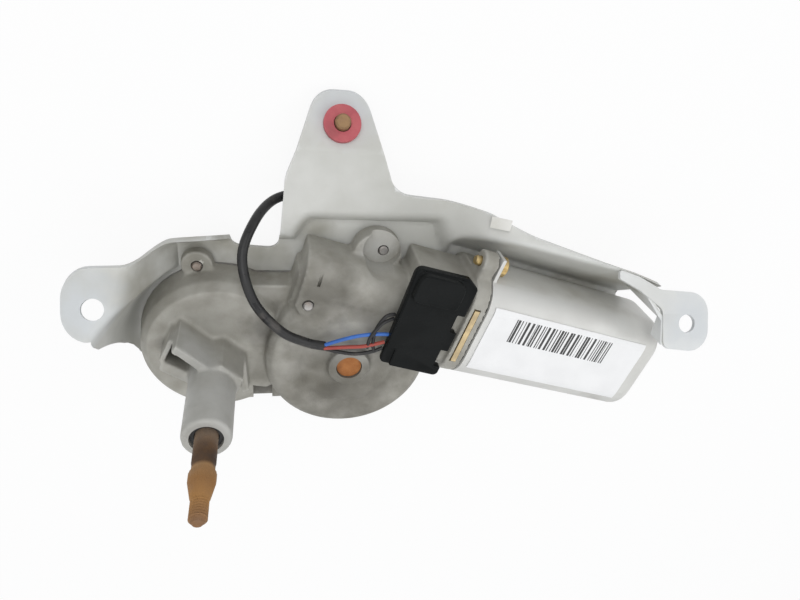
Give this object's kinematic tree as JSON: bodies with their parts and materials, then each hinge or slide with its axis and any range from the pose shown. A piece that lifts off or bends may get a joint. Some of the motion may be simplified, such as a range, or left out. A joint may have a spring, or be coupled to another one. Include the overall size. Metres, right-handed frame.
{
  "type": "windshield wiper assembly",
  "caption": "Rear wiper drive: flat-sided motor, worm gearbox with crank linkage, upright spindle tower and pressed steel bracket with mounting lugs.",
  "frame": {"origin": "under the middle of the whole part, at the back face of the bracket's motor plate", "axes": "+X from the left lug to the right lug, +Y to the top lug, +Z along the spindle towards its tip"},
  "size_m": [0.2507, 0.1448, 0.108],
  "materials": {
    "bracket_paint": "light grey paint, scuffed",
    "cast_housing": "die-cast, dull and dirty",
    "can_paint": "grey paint, scuffed",
    "plain_steel": "zinc plated",
    "rusty_steel": "surface rust",
    "gold_zinc": "yellow zinc",
    "bronze": "sintered bronze",
    "copper": "copper",
    "ferrite": "ferrite",
    "gear_plastic": "acetal",
    "black_plastic": "black",
    "black_vinyl": "soft vinyl",
    "blue_vinyl": "soft vinyl",
    "red_vinyl": "soft vinyl",
    "red_washer": "red fibre",
    "white_plastic": "white nylon",
    "seal_rubber": "rubber",
    "blank_sticker": "blank white sticker"
  },
  "bodies": {
    "chassis": {"mounting_bracket": "bracket_paint", "gear_housing": "cast_housing", "motor_yoke": "can_paint", "rear_cover": "plain_steel", "bracket_screw_1": "plain_steel", "bracket_screw_2": "plain_steel", "bracket_screw_3": "plain_steel", "captive_bolt": "plain_steel", "yoke_screw_1": "gold_zinc", "yoke_screw_2": "gold_zinc", "spindle_bush_lower": "bronze", "spindle_bush_upper": "bronze", "front_bush": "bronze", "end_bush": "bronze", "magnet_upper": "ferrite", "magnet_lower": "ferrite", "brush_upper": "ferrite", "brush_lower": "ferrite", "brush_cap": "black_plastic", "lead_connector": "black_plastic", "lead_sleeve": "black_vinyl", "black_wire": "black_vinyl", "blue_wire": "blue_vinyl", "red_wire": "red_vinyl", "bolt_retainer": "red_washer", "harness_clip": "white_plastic", "spindle_seal": "seal_rubber", "label_blank": "blank_sticker"},
    "armature": {"armature_shaft": "plain_steel", "armature_core": "plain_steel", "winding_front": "copper", "winding_rear": "copper", "commutator": "copper"},
    "wheel": {"worm_wheel": "gear_plastic", "wheel_shaft": "rusty_steel", "crank_pin": "plain_steel"},
    "rod": {"connecting_rod": "plain_steel"},
    "spindle": {"spindle": "rusty_steel", "output_lever": "plain_steel", "spindle_washer": "plain_steel"}
  },
  "joints": [
    {"name": "armature_turn", "type": "hinge", "parent": "chassis", "child": "armature", "pos_m": [0, -0.0056, 0.022], "axis": [0.9659, -0.2588, 0], "range_deg": [0, 7200]},
    {"name": "wheel_turn", "type": "hinge", "parent": "chassis", "child": "wheel", "pos_m": [-0.02419, -0.03018, 0.022], "axis": [0, 0, 1], "range_deg": [0, 180]},
    {"name": "rod_swing", "type": "hinge", "parent": "wheel", "child": "rod", "pos_m": [-0.03308, -0.03154, 0.0149], "axis": [0, 0, 1], "range_deg": [-180, 0]},
    {"name": "spindle_swing", "type": "hinge", "parent": "chassis", "child": "spindle", "pos_m": [-0.0775, -0.0311, 0.02], "axis": [0, 0, 1], "range_deg": [0, 103]}
  ],
  "couplings": [
    {"joint": "wheel_turn", "follows": "armature_turn", "ratio": 0.025},
    {"joint": "rod_swing", "follows": "armature_turn", "ratio": -0.025},
    {"joint": "spindle_swing", "follows": "armature_turn", "ratio": 0.014306}
  ]
}
